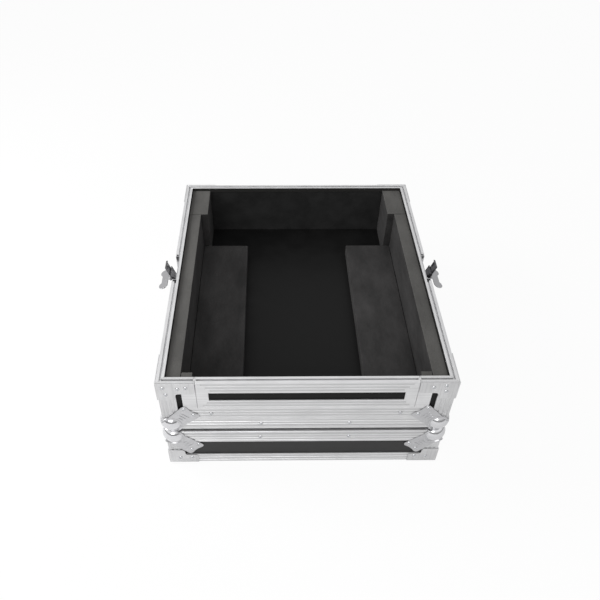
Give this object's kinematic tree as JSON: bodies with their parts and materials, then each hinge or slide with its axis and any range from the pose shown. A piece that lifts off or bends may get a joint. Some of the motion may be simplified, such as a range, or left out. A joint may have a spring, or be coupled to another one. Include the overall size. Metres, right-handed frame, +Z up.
{
  "type": "dj mixer flight case",
  "caption": "Open foam-lined flight case tray with a lift-out front panel, side butterfly latches and ball corners, standing on its upturned aluminium-edged lid.",
  "frame": {"origin": "on the floor, under the middle of the case", "axes": "+Z up; -Y is the front with the lift-out panel, +Y the rear with the handle, +X the viewer's right"},
  "size_m": [0.5492, 0.5768, 0.2392],
  "materials": {
    "ribbed_aluminium": "ribbed extrusion, natural satin anodised",
    "smooth_aluminium": "smooth extrusion and plate, satin",
    "plated_steel": "zinc plated pressed steel, bright",
    "black_laminate": "black laminate with a fine grain on birch ply",
    "charcoal_foam": "cut closed-cell foam, matt charcoal"
  },
  "bodies": {
    "lid": {"lid_shell": "black_laminate", "lid_foam_pad": "charcoal_foam", "lid_rim": "ribbed_aluminium", "lid_front_top_edge": "ribbed_aluminium", "lid_rear_top_edge": "ribbed_aluminium", "lid_left_top_edge": "ribbed_aluminium", "lid_right_top_edge": "ribbed_aluminium", "lid_left_latch_keeper": "plated_steel", "lid_right_latch_keeper": "plated_steel", "lid_front_left_corner_post": "smooth_aluminium", "lid_front_right_corner_post": "smooth_aluminium", "lid_rear_left_corner_post": "smooth_aluminium", "lid_rear_right_corner_post": "smooth_aluminium", "lid_front_left_ball_corner": "plated_steel", "lid_front_right_ball_corner": "plated_steel", "lid_rear_left_ball_corner": "plated_steel", "lid_rear_right_ball_corner": "plated_steel"},
    "tray": {"tray_floor_panel": "black_laminate", "tray_front_panel": "black_laminate", "tray_rear_panel": "black_laminate", "tray_left_panel": "black_laminate", "tray_right_panel": "black_laminate", "tray_front_bottom_edge": "ribbed_aluminium", "tray_rear_bottom_edge": "ribbed_aluminium", "tray_left_bottom_edge": "ribbed_aluminium", "tray_right_bottom_edge": "ribbed_aluminium", "tray_rear_rim": "ribbed_aluminium", "tray_left_rim": "ribbed_aluminium", "tray_right_rim": "ribbed_aluminium", "front_opening_frame": "ribbed_aluminium", "tray_front_left_corner_post": "smooth_aluminium", "tray_front_right_corner_post": "smooth_aluminium", "tray_rear_left_corner_post": "smooth_aluminium", "tray_rear_right_corner_post": "smooth_aluminium", "tray_front_left_ball_corner": "plated_steel", "tray_front_right_ball_corner": "plated_steel", "tray_rear_left_ball_corner": "plated_steel", "tray_rear_right_ball_corner": "plated_steel", "left_latch_dish": "plated_steel", "right_latch_dish": "plated_steel", "rear_handle_dish": "plated_steel", "left_side_liner_foam": "charcoal_foam", "right_side_liner_foam": "charcoal_foam", "left_platform_foam": "charcoal_foam", "right_platform_foam": "charcoal_foam", "left_front_strip_foam": "charcoal_foam", "right_front_strip_foam": "charcoal_foam", "left_rear_corner_block_foam": "charcoal_foam", "right_rear_corner_block_foam": "charcoal_foam"},
    "front_panel": {"front_panel_frame": "smooth_aluminium", "front_panel_board": "black_laminate"},
    "rear_handle": {"rear_handle_bail": "plated_steel"},
    "left_latch_arm": {"left_latch_arm": "plated_steel"},
    "left_latch_claw": {"left_latch_claw": "plated_steel"},
    "left_latch_spindle": {"left_latch_spindle": "plated_steel"},
    "left_latch_wing": {"left_latch_wing": "plated_steel"},
    "right_latch_arm": {"right_latch_arm": "plated_steel"},
    "right_latch_claw": {"right_latch_claw": "plated_steel"},
    "right_latch_spindle": {"right_latch_spindle": "plated_steel"},
    "right_latch_wing": {"right_latch_wing": "plated_steel"}
  },
  "joints": [
    {"name": "tray_lift", "type": "slide", "parent": "lid", "child": "tray", "axis": [0, 0, 1], "range_m": [0, 0.25]},
    {"name": "front_panel_lift", "type": "slide", "parent": "tray", "child": "front_panel", "axis": [0, 0, 1], "range_m": [0, 0.09]},
    {"name": "rear_handle_swing", "type": "hinge", "parent": "tray", "child": "rear_handle", "pos_m": [0, 0.2811, 0.18895], "axis": [1, 0, 0], "range_deg": [0, 90], "stiffness_Nm_per_rad": 0.1},
    {"name": "left_latch_swing", "type": "hinge", "parent": "tray", "child": "left_latch_arm", "pos_m": [-0.2404, 0, 0.1864], "axis": [0, -1, 0], "range_deg": [-20, 55]},
    {"name": "left_latch_twist", "type": "hinge", "parent": "left_latch_arm", "child": "left_latch_spindle", "pos_m": [-0.24792, 0, 0.20707], "axis": [-0.9397, 0, -0.342], "range_deg": [0, 180]},
    {"name": "left_claw_slide", "type": "slide", "parent": "left_latch_arm", "child": "left_latch_claw", "axis": [-0.342, 0, 0.9397], "range_m": [-0.006, 0]},
    {"name": "left_wing_flip", "type": "hinge", "parent": "left_latch_spindle", "child": "left_latch_wing", "pos_m": [-0.25178, 0, 0.20567], "axis": [0, -1, 0], "range_deg": [0, 90]},
    {"name": "right_latch_swing", "type": "hinge", "parent": "tray", "child": "right_latch_arm", "pos_m": [0.2404, 0, 0.1864], "axis": [0, 1, 0], "range_deg": [-20, 55]},
    {"name": "right_latch_twist", "type": "hinge", "parent": "right_latch_arm", "child": "right_latch_spindle", "pos_m": [0.24792, 0, 0.20707], "axis": [0.9397, 0, -0.342], "range_deg": [0, 180]},
    {"name": "right_claw_slide", "type": "slide", "parent": "right_latch_arm", "child": "right_latch_claw", "axis": [0.342, 0, 0.9397], "range_m": [-0.006, 0]},
    {"name": "right_wing_flip", "type": "hinge", "parent": "right_latch_spindle", "child": "right_latch_wing", "pos_m": [0.25178, 0, 0.20567], "axis": [0, 1, 0], "range_deg": [0, 90]}
  ],
  "couplings": [
    {"joint": "left_claw_slide", "follows": "left_latch_twist", "m_per_rad": -0.0019099},
    {"joint": "right_claw_slide", "follows": "right_latch_twist", "m_per_rad": -0.0019099}
  ]
}
